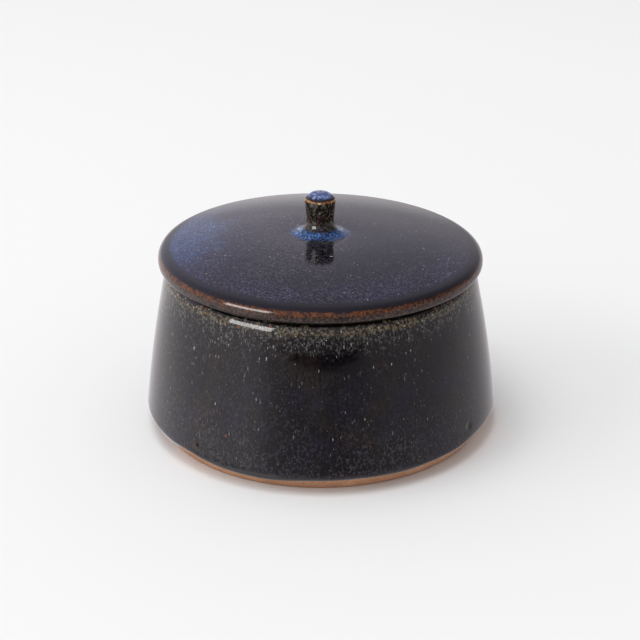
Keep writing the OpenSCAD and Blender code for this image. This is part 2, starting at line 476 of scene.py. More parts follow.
class Shader(Nodes):
    """The node tree of a material, with the place of the shaded point at hand in millimetres."""

    def __init__(self, name):
        self.material = bpy.data.materials.new(name)
        self.material.use_nodes = True
        super().__init__(self.material.node_tree)
        self.surface = self.tree.nodes["Principled BSDF"]
        place = self.node("ShaderNodeTexCoord").outputs["Object"]
        self.place = self.vector("SCALE", place, scale=1 / MM)
        split = self.node("ShaderNodeSeparateXYZ", Vector=self.place)
        self.x, self.y, self.z = split.outputs
        self.radius = self.math("SQRT", self.add(self.mul(self.x, self.x), self.mul(self.y, self.y)))
        above = self.math("DIVIDE", self.sub(self.z, seat_z), BRIM_H, clamp=True)
        tilt = self.add(self.mul(above, LID_TILT - SEAT_TILT), SEAT_TILT)
        self.level = self.add(self.z, self.mul(self.x, tilt))  # height with the tilt taken out

    def noise(self, size, detail=2.0, rough=0.5, stretch=1.0, shift=0.0):
        """Noise with features about size millimetres across, drawn out along Z by stretch."""
        place = self.vector("MULTIPLY", self.place, (1 / size, 1 / size, 1 / (size * stretch)))
        place = self.vector("ADD", place, (shift, 0.37 * shift, -0.61 * shift))
        n = self.node("ShaderNodeTexNoise", Vector=place, Scale=1.0, Detail=detail, Roughness=rough)
        return n.outputs[0]

    def flecks(self, cell, radius, share, stretch=1.0, shift=0.0):
        """Separate flecks, one in some cells. Returns how much of a fleck is here, and a random shade."""
        place = self.vector("MULTIPLY", self.place, (1 / cell, 1 / cell, 1 / (cell * stretch)))
        place = self.vector("ADD", place, (shift, 1.7 * shift, 0.3 * shift))
        push = self.node("ShaderNodeTexNoise", Vector=place, Scale=2.3, Detail=1.0).outputs["Color"]
        push = self.vector("SCALE", self.vector("SUBTRACT", push, (0.5, 0.5, 0.5)), scale=FLECK_RAGGED)
        spots = self.node("ShaderNodeTexVoronoi", Vector=self.vector("ADD", place, push), Scale=1.0)
        draw = self.node("ShaderNodeSeparateColor", Color=spots.outputs["Color"])
        size = self.mul(self.add(self.mul(draw.outputs[0], 1 - FLECK_LEAST), FLECK_LEAST), radius)
        inside = self.step(self.math("DIVIDE", spots.outputs["Distance"], size), 1.0, 0.55)
        chosen = self.math("LESS_THAN", draw.outputs[1], share)
        return self.mul(inside, chosen), draw.outputs[2]

    def bump(self, height, distance, under=None):
        """Normal bent by a height of 0 to 1 that stands for distance in metres."""
        n = self.node("ShaderNodeBump", Height=height, Strength=1.0, Distance=distance)
        if under is not None:
            self.put(n.inputs["Normal"], under)
        return n.outputs[0]

    def finish(self, colour, roughness, normal=None, specular=0.5):
        self.put(self.surface.inputs["Base Color"], colour)
        self.put(self.surface.inputs["Roughness"], roughness)
        self.surface.inputs["IOR"].default_value = GLASS_IOR
        self.surface.inputs["Specular IOR Level"].default_value = specular
        if normal is not None:
            self.put(self.surface.inputs["Normal"], normal)
        return self.material


# ---- colours, as linear red, green and blue. A pair runs from its darkest to its palest ----

CLAY = (0.44, 0.215, 0.115)
CLAY_PALE = (0.56, 0.31, 0.18)
CLAY_DARK = (0.25, 0.115, 0.06)
CLAY_SPECK = (0.05, 0.03, 0.02)
# painted shade for the seat, in the gap between jar and lid
SEAT_SHADE = (0.004, 0.003, 0.002)

JAR_GROUND = (0.0030, 0.0020, 0.0030), (0.044, 0.039, 0.046)
JAR_WARM = (0.022, 0.014, 0.010)
JAR_BLUE = (0.011, 0.010, 0.034)
JAR_RED = (0.045, 0.012, 0.010)
HANGING_FLECK = (0.060, 0.058, 0.066), (0.37, 0.37, 0.355)
DULL_FLECK = (0.028, 0.026, 0.036), (0.120, 0.115, 0.128)
JAR_FROST = (0.125, 0.122, 0.115)
OLIVE = (0.009, 0.006, 0.004), (0.19, 0.160, 0.100)
CREAM = (0.20, 0.175, 0.12), (0.60, 0.55, 0.42)
RUST_FLECK = (0.22, 0.062, 0.016)
# painted shade for the top of the rim, in the gap under the lid
LIP_SHADE = (0.006, 0.004, 0.003)
ROLL_SLATE = (0.0320, 0.0310, 0.0315)
HALO_BROWN = (0.046, 0.028, 0.016)
CRATER_BLACK = (0.002, 0.0015, 0.001)
DIMPLE_BLACK = (0.003, 0.003, 0.003)
SPECK_RED = (0.20, 0.035, 0.03)

POOL_DEEP = (0.006, 0.014, 0.050)
COBALT = (0.019, 0.082, 0.27)
AZURE = (0.10, 0.24, 0.52)

LID_GROUND = (0.0018, 0.0012, 0.0026), (0.062, 0.055, 0.074)
LID_VIOLET = (0.019, 0.019, 0.085)
LID_VEIL = (0.006, 0.012, 0.060)
LID_COBALT = (0.003, 0.017, 0.085), (0.055, 0.105, 0.235)
LID_FLECK = (0.045, 0.042, 0.062), (0.20, 0.195, 0.24)
PATCH_FLECK = (0.04, 0.09, 0.26), (0.13, 0.23, 0.42)
PALE_DOT = (0.34, 0.32, 0.33)
EDGE_BLACK = (0.0050, 0.0040, 0.0048)
BRIM_BROWN = (0.018, 0.011, 0.009), (0.085, 0.052, 0.044)
BRIM_FLECK = (0.2, 0.18, 0.16)
BRIM_RUST = (0.022, 0.007, 0.003), (0.155, 0.046, 0.009)
# painted shade for the lid's underside at the seat
UNDER_BRIM_SHADE = (0.005, 0.0035, 0.0025)

KNOB_GROUND = (0.0060, 0.0045, 0.0040), (0.098, 0.082, 0.062)
KNOB_RED = (0.050, 0.012, 0.006)
DAB_DARK = (0.045, 0.030, 0.020)
DAB_CREAM = (0.50, 0.43, 0.29)
DAB_GREEN = (0.17, 0.20, 0.19)
DAB_RUST = (0.28, 0.12, 0.04)
RING_RUST = (0.16, 0.045, 0.012), (0.42, 0.19, 0.055)
RING_CREAM = (0.62, 0.54, 0.38)
CAP_BLACK = (0.012, 0.011, 0.014)
CAP_BLUE = (0.030, 0.038, 0.095), (0.085, 0.140, 0.34)
CAP_PALE = (0.30, 0.38, 0.60)
FLARE = (0.004, 0.0035, 0.003), (0.050, 0.055, 0.045)

LINER_GROUND = (0.0055, 0.0045, 0.0070), (0.036, 0.032, 0.046)
LINER_BLUE = (0.02, 0.03, 0.11)
LINER_FLECK = (0.06, 0.06, 0.06), (0.22, 0.21, 0.18)

# ---- places and strengths in the glazes, in millimetres ----

GLASS_IOR = 1.5
GLAZE_SPECULAR = 0.4
CLAY_ROUGH = 0.72
KNOB_ROUGH = 0.07
CRATER_ROUGH = 0.85                  # how much rougher the crater's burnt eye is
FLECK_RAGGED = 0.35                  # how far a fleck's outline is pushed about, in cells
FLECK_LEAST = 0.35                   # the smallest fleck, as a part of the largest
# A place with few flecks high on the front, by X and Z, and the cobalt patch on the lid, by X and Y
BALD_AT, BALD_SIZE = (3.0, 51.5), (17.0, 4.5)
PATCH_AT, PATCH_SIZE = (-56.0, 9.0), (17.0, 31.0)
POOL_R = 10.6                        # the blue pool round the knob's foot ends here
POOL_TOP = 2.9                       # and this far up the knob

# Flecks in hanging strings on the jar: cell, radius, shift, strength and share
HANGING = [(0.85, 0.37, 0.0, 0.95, 0.60), (1.1, 0.30, 9.0, 1.0, 0.55), (0.72, 0.40, 17.0, 0.7, 0.75)]
# Flecks on the lid: cell, radius, share, shift and strength
LID_FLECKS = [(1.0, 0.42, 0.55, 5.0, 0.7), (1.6, 0.30, 0.45, 15.0, 0.85)]
# Dabs on the knob: cell, radius, share, shift and palest colour
DABS = [(1.1, 0.44, 0.42, 2.0, DAB_CREAM), (1.5, 0.40, 0.40, 12.0, DAB_GREEN),
        (1.3, 0.42, 0.30, 22.0, DAB_RUST)]
# Fired-in marks on the jar: place, radius, colour and strength
MARKS = [(HALO, 2.0, HALO_BROWN, 0.75), (CRATER, 1.35, CRATER_BLACK, 1.0),
         (DIMPLE, 1.3, DIMPLE_BLACK, 0.9), (RED_SPECK, 0.75, SPECK_RED, 0.7)]


# ---- materials ----

def bare_clay():
    m = Shader("bare_stoneware")
    cloud = m.noise(14, detail=3)
    grain = m.noise(0.9, detail=3, rough=0.7)
    turning = m.noise(4.0, detail=2, stretch=0.10, shift=5)
    colour = m.mix(m.step(cloud, 0.35, 0.7), CLAY, CLAY_PALE)
    colour = m.mix(m.mul(m.step(turning, 0.50, 0.66), 0.45), colour, CLAY_PALE)
    colour = m.mix(m.mul(m.step(grain, 0.50, 0.66), 0.55), colour, CLAY_DARK)
    speck, _ = m.flecks(1.6, 0.24, 0.4, shift=3.1)
    colour = m.mix(m.mul(speck, 0.8), colour, CLAY_SPECK)
    # painted shade at the foot, darker where it meets the table
    foot = m.step(m.add(m.z, m.mul(grain, 0.6)), 1.5, 0.5)
    colour = m.mix(m.mul(foot, 0.55), colour, CLAY_DARK)
    # painted shade on the seat, in the dark gap where jar and lid meet
    over = m.step(m.level, seat_z - 1.6, seat_z - 1.0)
    below = m.step(m.level, seat_z + 2.2, seat_z + 1.2)
    seat = m.mul(m.mul(over, below), m.step(m.radius, MOUTH_R + 1.0, MOUTH_R + 2.5))
    colour = m.mix(seat, colour, SEAT_SHADE)
    normal = m.bump(grain, 0.00010)
    normal = m.bump(turning, 0.00008, normal)
    return m.finish(colour, CLAY_ROUGH, normal, specular=0.3)


def jar_ground(m, grain, left, kept):
    """Near black with a violet cast, clouds of brown, blue and red, and a grain strongest at the foot."""
    streaky = m.noise(1.3, detail=2, rough=0.6, stretch=4.0, shift=4)
    cloud = m.noise(15, detail=3, stretch=1.3, shift=7.3)
    strong = m.add(m.add(0.30, m.mul(left, 0.30)), m.mul(m.step(m.level, 34, 16), 0.75))
    strong = m.all_of(strong, m.step(cloud, 0.20, 0.60), kept)
    colour = m.mix(m.mul(m.step(grain, 0.48, 0.64), strong), *JAR_GROUND)
    warm = m.step(m.noise(16, detail=2, stretch=1.4, shift=17.3), 0.46, 0.66)
    warm = m.all_of(warm, m.step(streaky, 0.36, 0.62), 0.55)
    colour = m.mix(warm, colour, JAR_WARM)
    blue = m.mul(m.step(m.noise(12, detail=3, shift=2.0), 0.44, 0.62), m.step(m.level, 50, 38))
    colour = m.mix(m.all_of(blue, m.step(streaky, 0.40, 0.64), 0.42), colour, JAR_BLUE)
    red = m.step(m.noise(7, detail=2, stretch=1.8, shift=21.7), 0.60, 0.72)
    return m.mix(m.all_of(red, m.step(streaky, 0.5, 0.7), 0.5), colour, JAR_RED)


def hanging_flecks(m, colour, depth, edge, left, kept):
    """Pale flecks in hanging strings, thick under the rim and thin down the wall."""
    thick = m.step(edge, 17, 8)
    string = m.step(m.noise(1.9, detail=1, stretch=16, shift=1.2), 0.50, 0.62)
    thin_out = m.mul(m.step(depth, 62, 20), m.add(0.38, m.mul(left, 0.40)))
    in_strings = m.add(m.mul(thick, m.add(0.30, m.mul(string, 0.55))),
                       m.mul(thin_out, m.add(0.10, m.mul(string, 0.35))))
    for cell, radius, shift, strength, keep in HANGING:
        share = m.mul(in_strings, m.mul(kept, keep))
        spot, shade = m.flecks(cell, radius, share, stretch=3.6, shift=shift)
        colour = m.mix(m.mul(spot, strength), colour, m.mix(m.mul(shade, shade), *HANGING_FLECK))
    return colour


def rim_break(m, colour, depth, band):
    """Lays the olive, cream and rust band on the turn of the rim over a colour, and painted shade on its top
    under the lid.
    """
    pepper = m.noise(1.0, detail=2, rough=0.75, stretch=1.2, shift=15)
    olive = m.mix(m.step(pepper, 0.45, 0.60), *OLIVE)
    colour = m.mix(m.mul(band, 0.92), colour, olive)
    cream, shade = m.flecks(1.1, 0.42, m.mul(band, 0.50), stretch=1.3, shift=23)
    colour = m.mix(m.mul(cream, 0.85), colour, m.mix(shade, *CREAM))
    rust, _ = m.flecks(1.5, 0.46, m.mul(band, 0.42), stretch=1.0, shift=31)
    colour = m.mix(m.mul(rust, 0.85), colour, RUST_FLECK)
    # painted shade: the top of the rim goes black in the gap under the lid's brim
    return m.mix(m.step(depth, 2.6, 1.4), colour, LIP_SHADE)


def jar_glaze():
    m = Shader("jar_glaze")
    depth = m.sub(seat_z, m.level)
    grain = m.noise(0.9, detail=2, rough=0.75, stretch=1.5)
    left, right = m.step(m.x, 20, -45), m.step(m.x, 20, 50)
    # how many flecks are kept: few in a bald place high on the front, and fewer on the right
    across = m.mul(m.sub(m.x, BALD_AT[0]), 1 / BALD_SIZE[0])
    up = m.mul(m.sub(m.z, BALD_AT[1]), 1 / BALD_SIZE[1])
    bald = m.mul(m.step(m.add(m.mul(across, across), m.mul(up, up)), 1.5, 0.5), m.step(m.y, -20, -40))
    kept = m.mul(m.less(bald, 0.72), m.less(right, 0.25))
    colour = jar_ground(m, grain, left, kept)
    edge = m.add(depth, m.swing(m.noise(3.4, detail=2, stretch=7, shift=3.7), 20))
    colour = hanging_flecks(m, colour, depth, edge, left, kept)
    # small dull flecks all over
    spot, shade = m.flecks(1.15, 0.30, m.mul(kept, 0.40), stretch=1.2, shift=27)
    colour = m.mix(m.mul(spot, 0.8), colour, m.mix(shade, *DULL_FLECK))
    # frost of fine pale grain under the rim
    frost = m.mul(m.step(edge, 13, 5), m.step(grain, 0.50, 0.62))
    colour = m.mix(m.mul(frost, 0.75), colour, JAR_FROST)
    ragged_depth = m.add(depth, m.swing(m.noise(2.2, detail=2, stretch=2, shift=5.1), 4))
    band = m.mul(m.step(ragged_depth, 6.2, 3.6), m.less(right, 0.45))
    colour = rim_break(m, colour, ragged_depth, band)
    # plain dark slate roll above the foot
    roll = m.step(m.add(m.level, m.swing(m.noise(6, shift=6), 4)), 8.2, 6.0)
    colour = m.mix(m.mul(roll, 0.85), colour, ROLL_SLATE)
    rough = m.add(0.055, m.mul(m.step(grain, 0.4, 0.7), 0.02))
    rough = m.add(rough, m.mul(band, 0.025))
    for mark, size, tint, strength in MARKS:
        away = m.vector("LENGTH", m.vector("SUBTRACT", m.place, on_wall(mark)), out=1)
        here = m.step(m.add(away, m.swing(grain, 0.8 * size)), size, size * 0.5)
        colour = m.mix(m.mul(here, strength), colour, tint)
        if mark == CRATER:
            rough = m.add(rough, m.mul(here, CRATER_ROUGH))
    skin = m.noise(7, detail=1, stretch=1.6, shift=14)
    normal = m.bump(skin, 0.000006)
    normal = m.bump(grain, 0.000001, normal)
    return m.finish(colour, rough, normal, specular=GLAZE_SPECULAR)


def blue_pool(m, colour, height):
    """Lays the blue glass that has gathered round the knob's foot over a colour."""
    across = m.math("DIVIDE", m.math("ABSOLUTE", m.x), m.math("MAXIMUM", m.radius, 1.0))
    rag = m.swing(m.noise(2.0, detail=3, rough=0.7, shift=9), 5.5)
    inside = m.sub(m.add(m.radius, rag), m.mul(m.mul(across, across), 2.4))
    fine = m.noise(0.9, detail=2, rough=0.7, shift=19)
    broad = m.noise(2.0, detail=3, rough=0.65, shift=29)
    share = m.mul(m.step(inside, POOL_R, 7.2), m.step(fine, 0.26, 0.50))
    share = m.mul(share, m.step(m.add(height, m.mul(rag, 0.30)), POOL_TOP, 1.7))
    blue = m.mix(m.step(fine, 0.40, 0.60), POOL_DEEP, COBALT)
    blue = m.mix(m.mul(m.step(broad, 0.50, 0.64), m.step(fine, 0.42, 0.58)), blue, AZURE)
    return m.mix(share, colour, blue)


def lid_top(m, grain):
    """Colour of the lid's top: frost on black, a violet front edge, and cobalt on the left."""
    cloud = m.noise(20, detail=3, shift=1.0)
    inset = m.sub(lid_r, m.radius)
    left = m.step(m.x, 30, -30)
    front = m.mul(m.step(inset, 24, 11), m.step(m.y, 10, -25))
    amount = m.add(m.add(0.34, m.mul(left, 0.36)), m.mul(front, 0.42))
    amount = m.mul(amount, m.add(0.55, m.mul(m.step(cloud, 0.30, 0.66), 0.85)))
    dense = m.mul(m.step(grain, 0.46, 0.64), amount)
    colour = m.mix(dense, *LID_GROUND)
    wash = m.mul(front, m.step(cloud, 0.34, 0.58))
    colour = m.mix(m.mul(wash, m.add(0.12, m.mul(dense, 0.25))), colour, LID_VIOLET)
    dx = m.mul(m.sub(m.x, PATCH_AT[0]), 1 / PATCH_SIZE[0])
    dy = m.mul(m.sub(m.y, PATCH_AT[1]), 1 / PATCH_SIZE[1])
    away = m.math("SQRT", m.add(m.mul(dx, dx), m.mul(dy, dy)))
    away = m.add(away, m.swing(m.noise(9, detail=4, rough=0.65, shift=33), 1.5))
    patch = m.step(away, 1.35, 0.60)
    colour = m.mix(m.mul(m.step(away, 2.7, 1.0), 0.30), colour, LID_VEIL)
    cobalt = m.mix(m.step(grain, 0.42, 0.64), *LID_COBALT)
    colour = m.mix(m.mul(patch, 0.80), colour, cobalt)
    for cell, radius, keep, shift, strength in LID_FLECKS:
        spot, shade = m.flecks(cell, radius, m.mul(amount, keep), shift=shift)
        colour = m.mix(m.mul(spot, strength), colour, m.mix(m.mul(shade, shade), *LID_FLECK))
    spot, shade = m.flecks(1.4, 0.42, m.mul(patch, 0.55), shift=25)
    colour = m.mix(m.mul(spot, 0.8), colour, m.mix(shade, *PATCH_FLECK))
    # tiny pale dots scattered over the lid
    pale_dot, _ = m.flecks(4.5, 0.11, 0.35, shift=45)
    return m.mix(m.mul(pale_dot, 0.8), colour, PALE_DOT)


def lid_brim(m, colour):
    """Lays the edge of the lid over a colour: run-off black, brown brim, rust line and painted shade on the
    underside.
    """
    ragged = m.swing(m.noise(2.4, detail=3, rough=0.65, shift=3), 2.4)
    thin = m.step(m.add(m.sub(lid_r, m.radius), ragged), 6.0, 3.9)
    colour = m.mix(m.mul(thin, 0.93), colour, EDGE_BLACK)
    height = m.sub(m.level, seat_z)
    on_lid = m.step(m.radius, 40, 50)
    rim_noise = m.noise(1.0, detail=3, rough=0.75, shift=12)
    waver = m.swing(m.noise(1.6, detail=3, shift=17), 1.6)
    brim = m.mul(on_lid, m.step(m.add(height, waver), BRIM_H - 0.9, BRIM_H - 1.5))
    colour = m.mix(brim, colour, m.mix(m.step(rim_noise, 0.40, 0.64), *BRIM_BROWN))
    spot, _ = m.flecks(1.3, 0.28, 0.3, shift=41)
    colour = m.mix(m.all_of(spot, brim, 0.6), colour, BRIM_FLECK)
    line_foot = m.step(m.add(height, waver), BRIM_H - 2.7, BRIM_H - 2.0)
    line_top = m.step(m.add(height, m.mul(waver, 0.6)), BRIM_H - 0.45, BRIM_H - 0.95)
    fading = m.less(m.step(m.x, 15, 42), 0.5)
    broken = m.step(m.noise(4.0, detail=3, shift=2.2), 0.30, 0.48)
    line = m.all_of(line_foot, line_top, fading, on_lid, broken, 0.95)
    colour = m.mix(line, colour, m.mix(m.step(rim_noise, 0.38, 0.62), *BRIM_RUST))
    # painted shade on the underside and foot of the brim, next to the seat
    return m.mix(m.mul(on_lid, m.step(height, 1.5, 0.9)), colour, UNDER_BRIM_SHADE)


def lid_glaze():
    m = Shader("lid_glaze")
    grain = m.noise(1.0, detail=3, rough=0.75)
    colour = lid_top(m, grain)
    colour = blue_pool(m, colour, m.sub(m.level, lid_top_z))
    colour = lid_brim(m, colour)
    skin = m.noise(7, detail=1, shift=14)
    normal = m.bump(skin, 0.00003)
    normal = m.bump(grain, 0.000012, normal)
    rough = m.add(0.06, m.mul(grain, 0.06))
    return m.finish(colour, rough, normal, specular=GLAZE_SPECULAR)


def knob_glaze():
    m = Shader("knob_glaze")
    fine = m.noise(1.0, detail=2, rough=0.7)
    broad = m.noise(2.0, detail=3, rough=0.6, shift=6)
    height = m.sub(m.level, lid_top_z)
    cap_h = knob_cap[1] - lid_top_z
    colour = m.mix(m.step(fine, 0.46, 0.62), *KNOB_GROUND)
    red = m.mul(m.step(broad, 0.46, 0.60), m.step(height, 11, 6))
    colour = m.mix(m.mul(red, 0.8), colour, KNOB_RED)
    for cell, radius, keep, shift, pale in DABS:
        spot, shade = m.flecks(cell, radius, keep, stretch=1.4, shift=shift)
        colour = m.mix(m.mul(spot, 0.9), colour, m.mix(shade, DAB_DARK, pale))
    # rust and cream ring at the cap's edge, black ring, blue top
    edge = m.add(height, m.swing(broad, 1.1))
    ring = m.mul(m.step(edge, cap_h - 0.70, cap_h - 0.35), m.step(edge, cap_h + 0.45, cap_h + 0.10))
    ring = m.mul(ring, m.step(m.noise(2.6, detail=2, shift=16), 0.36, 0.48))
    colour = m.mix(ring, colour, m.mix(m.step(fine, 0.40, 0.58), *RING_RUST))
    colour = m.mix(m.all_of(ring, m.step(broad, 0.54, 0.62), 0.9), colour, RING_CREAM)
    above = m.step(edge, cap_h + 0.2, cap_h + 0.5)
    colour = m.mix(m.mul(above, 0.92), colour, CAP_BLACK)
    top = m.step(edge, cap_h + 0.9, cap_h + 1.5)
    colour = m.mix(top, colour, m.mix(m.step(fine, 0.40, 0.60), *CAP_BLUE))
    colour = m.mix(m.all_of(top, m.step(broad, 0.50, 0.62), 0.7), colour, CAP_PALE)
    # the flare is dark, with a few greenish flecks, and stands in the blue pool
    flare = m.step(m.add(height, m.swing(broad, 2.0)), 6.2, 5.0)
    colour = m.mix(m.mul(flare, 0.7), colour, m.mix(m.step(fine, 0.50, 0.66), *FLARE))
    colour = blue_pool(m, colour, height)
    normal = m.bump(m.noise(2.6, detail=2, shift=4), 0.00004)
    return m.finish(colour, KNOB_ROUGH, normal, specular=GLAZE_SPECULAR)


def liner_glaze():
    m = Shader("liner_glaze")
    fine = m.noise(1.1, detail=3, rough=0.7)
    cloud = m.noise(18, detail=2, shift=4)
    colour = m.mix(m.step(fine, 0.44, 0.66), *LINER_GROUND)
    colour = m.mix(m.mul(m.step(cloud, 0.5, 0.72), m.step(fine, 0.4, 0.6)), colour, LINER_BLUE)
    spot, shade = m.flecks(1.3, 0.32, 0.35, shift=5)
    colour = m.mix(m.mul(spot, 0.6), colour, m.mix(shade, *LINER_FLECK))
    normal = m.bump(m.noise(6, detail=2, shift=3), 0.00005)
    return m.finish(colour, m.add(0.09, m.mul(fine, 0.06)), normal, specular=GLAZE_SPECULAR)


clay_material = bare_clay()
jar_material = jar_glaze()
lid_material = lid_glaze()
knob_material = knob_glaze()
liner_material = liner_glaze()


# ---- the jar ----

def glaze_line_s():
    """Distance along the clay outside at which the glaze starts, for each angle."""
    angles, heights = np.array(GLAZE_LINE, float).T
    h = np.interp(front_angle, angles, heights)
    kernel = np.hanning(LINE_SMOOTH + 2)[1:-1]
    around = np.r_[h[-LINE_SMOOTH:], h, h[:LINE_SMOOTH]]
    h = np.convolve(around, kernel / kernel.sum(), "same")[LINE_SMOOTH:-LINE_SMOOTH]
    h = h + 0.12 * np.sin(11 * theta + 1) + 0.08 * np.sin(23 * theta + 2)
    rising = clay_outside.points[:, 1]
    return np.interp(h, rising, clay_outside.s)


def make_jar_clay():
    out = clay_outside.at(clay_outside.steps(1.5))
    inside = clay_inside.at(clay_inside.steps(2.5))
    rings = path(clay_under, np.stack(out, 1), rim_bare, np.stack(inside, 1))
    return turned("jar_clay", "jar", rings[:, 0], rings[:, 1], clay_material, ["jar_body"])


def make_jar_glaze():
    start = glaze_line_s()[None, :]
    top = clay_outside.length - RIM_BARE
    u = np.r_[np.linspace(0, 1, 9)[:-1] ** 2 * 0.02, np.linspace(0.02, 1, 96)][:, None]
    s = start + (top - start) * u
    above = s - start
    wiped = sum(np.exp(-((front_angle - at) / wide) ** 2) for at, wide in WIPED)
    rounding = np.clip(above / (ROLL_ROUND + WIPED_ROUND * wiped), 0, 1)
    edge = np.sqrt(rounding * (2 - rounding))
    roll = ROLL_T * np.exp(-((above - ROLL_AT) / ROLL_W) ** 2) * (1 - wiped)
    thin = 1 - 0.45 * np.clip((s - top + 7) / 7, 0, 1)
    r, z = clay_outside.at(s, (glaze_t * thin + roll) * edge)
    r = dented(np.minimum(r, belly_r), z)
    back = np.linspace(1, 0, 30)[:, None]
    r2, z2 = clay_outside.at(start + (top - start) * back, -BURIED)
    return turned("jar_glaze_coat", "jar", np.r_[r, r2], np.r_[z, z2],
                  jar_material, ["jar_glaze"], loop=True)


def make_jar_liner():
    s = clay_inside.steps(1.6, MOUTH_ROUND * 1.8)
    edge = np.sqrt(np.clip((s - s[0]) / 1.2, 0, 1))
    r, z = clay_inside.at(s, LINER_T * edge)
    back = clay_inside.steps(6, MOUTH_ROUND * 1.8)[::-1]
    r2, z2 = clay_inside.at(back, -BURIED)
    return turned("jar_liner_coat", "jar", np.r_[np.maximum(r, 0), np.maximum(r2, 0)], np.r_[z, z2],
                  liner_material, ["jar_liner"], loop=True)


# ---- the lid ----

def make_lid_clay():
    s = lid_skin.steps(2.0)
    r, z = lid_skin.at(s, -glaze_t)
    hollow = lid_hollow.at(lid_hollow.steps(2.5)[::-1])
    rings = path([[brim_flat_r - 0.6, seat_z], [brim_flat_r, seat_z]], np.stack([r, z], 1),
                 [[0, lid_top_z - glaze_t]])
    under = path(np.stack(hollow, 1), [[brim_flat_r - 0.6, seat_z]])
    rings = np.r_[under, rings[1:]]
    return turned("lid_clay", "lid", rings[:, 0], rings[:, 1], clay_material, ["lid_plate"])


def make_lid_flange():
    outer, inner = [flange_r - FLANGE_TAPER, flange_foot_z], [flange_in_r, flange_foot_z]
    rings = path(
        [flange_in_r, seat_z + 0.05],
        [flange_in_r, seat_z],
        corner([flange_in_r, seat_z], inner, outer, FLANGE_ROUND, 6),
        corner(inner, outer, [flange_r, seat_z], FLANGE_ROUND, 6),
        [flange_r, seat_z + 0.05],
    )
    return turned("flange_clay", "lid", rings[:, 0], rings[:, 1],
                  clay_material, ["lid_flange"], loop=True)


def make_lid_glaze():
    s = lid_skin.steps(1.0)
    edge = np.sqrt(np.clip(s / COAT_ROUND, 0, 1))
    r, z = lid_skin.at(s, -glaze_t * (1 - edge))
    back = lid_skin.steps(3.0)[::-1]
    r2, z2 = lid_skin.at(back, -glaze_t - BURIED)
    return turned("lid_glaze_coat", "lid", np.r_[r, r2], np.r_[z, z2],
                  lid_material, ["lid_glaze"], loop=True)


def make_lid_liner():
    s = lid_hollow.steps(2.0)
    r, z = lid_hollow.at(s, -LINER_T * np.sqrt(np.clip(s / COAT_ROUND, 0, 1)))
    back = lid_hollow.steps(5.0)[::-1]
    r2, z2 = lid_hollow.at(back, BURIED)
    return turned("lid_liner_coat", "lid", np.maximum(np.r_[r, r2], 0), np.r_[z, z2],
                  liner_material, ["lid_liner"], loop=True)


def make_knob():
    s = knob_skin.steps(0.6)
    r, z = knob_skin.at(s)
    back = knob_skin.steps(2.0)[::-1]
    r2, z2 = knob_skin.at(back, -glaze_t - BURIED)
    turned("knob_glaze_coat", "lid", np.maximum(np.r_[r, r2], 0), np.r_[z, z2],
           knob_material, ["knob_glaze"], loop=True)
    r, z = knob_skin.at(knob_skin.steps(1.5), -glaze_t)
    rings = path([[0, lid_top_z - glaze_t]], np.stack([np.maximum(r, 0), z], 1))
    turned("knob_clay", "lid", rings[:, 0], rings[:, 1], clay_material, ["lid_knob"])


make_jar_clay()
make_jar_glaze()
make_jar_liner()
make_lid_clay()
make_lid_flange()
make_lid_glaze()
make_lid_liner()
make_knob()


# ---- the studio ----

FLOOR_BACK, FLOOR_FRONT, FLOOR_SIDE = 4.0, 3.0, 3.0
FLOOR_WHITE = (0.90, 0.90, 0.905)
FLOOR_ROUGH = 0.9
LIGHT_DISTANCE = 3.0


def make_floor():
    verts = [(-FLOOR_SIDE, -FLOOR_FRONT, 0), (FLOOR_SIDE, -FLOOR_FRONT, 0),
             (FLOOR_SIDE, FLOOR_BACK, 0), (-FLOOR_SIDE, FLOOR_BACK, 0)]
    mesh = bpy.data.meshes.new("table_top")
    mesh.from_pydata(verts, [], [(0, 1, 2, 3)])
    m = Shader("pale_table")
    mesh.materials.append(m.finish(FLOOR_WHITE, FLOOR_ROUGH, specular=0.0))
    floor = bpy.data.objects.new("table_top", mesh)
    bpy.context.scene.collection.objects.link(floor)
    floor.visible_glossy = False  # the glaze mirrors the room alone, which carries the table's tone


def make_softbox(name, azimuth, height, wide, tall, radiance, on_floor, in_glaze):
    """A panel light. Angles are in degrees: left of the front, up, across and from top to bottom."""
    light = bpy.data.lights.new(name, "AREA")
    light.shape = "RECTANGLE"
    light.size = 2 * LIGHT_DISTANCE * math.tan(math.radians(wide / 2))
    light.size_y = 2 * LIGHT_DISTANCE * math.tan(math.radians(tall / 2))
    light.energy = radiance * math.pi * light.size * light.size_y
    lamp = bpy.data.objects.new(name, light)
    a, e = math.radians(azimuth), math.radians(height)
    towards = Vector((-math.sin(a) * math.cos(e), -math.cos(a) * math.cos(e), math.sin(e)))
    lamp.location = towards * LIGHT_DISTANCE
    lamp.rotation_euler = towards.to_track_quat("Z", "Y").to_euler()
    lamp.visible_diffuse = on_floor
    lamp.visible_glossy = in_glaze
    bpy.context.scene.collection.objects.link(lamp)


# Brightness of the room as the glaze mirrors it, by the upward part of the direction
ROOM = [
    (0.0, 0.70), (0.15, 0.70), (0.25, 0.80), (0.37, 0.74),
    (0.44, 0.68), (0.58, 0.64), (0.75, 0.59), (1.0, 0.56),
]
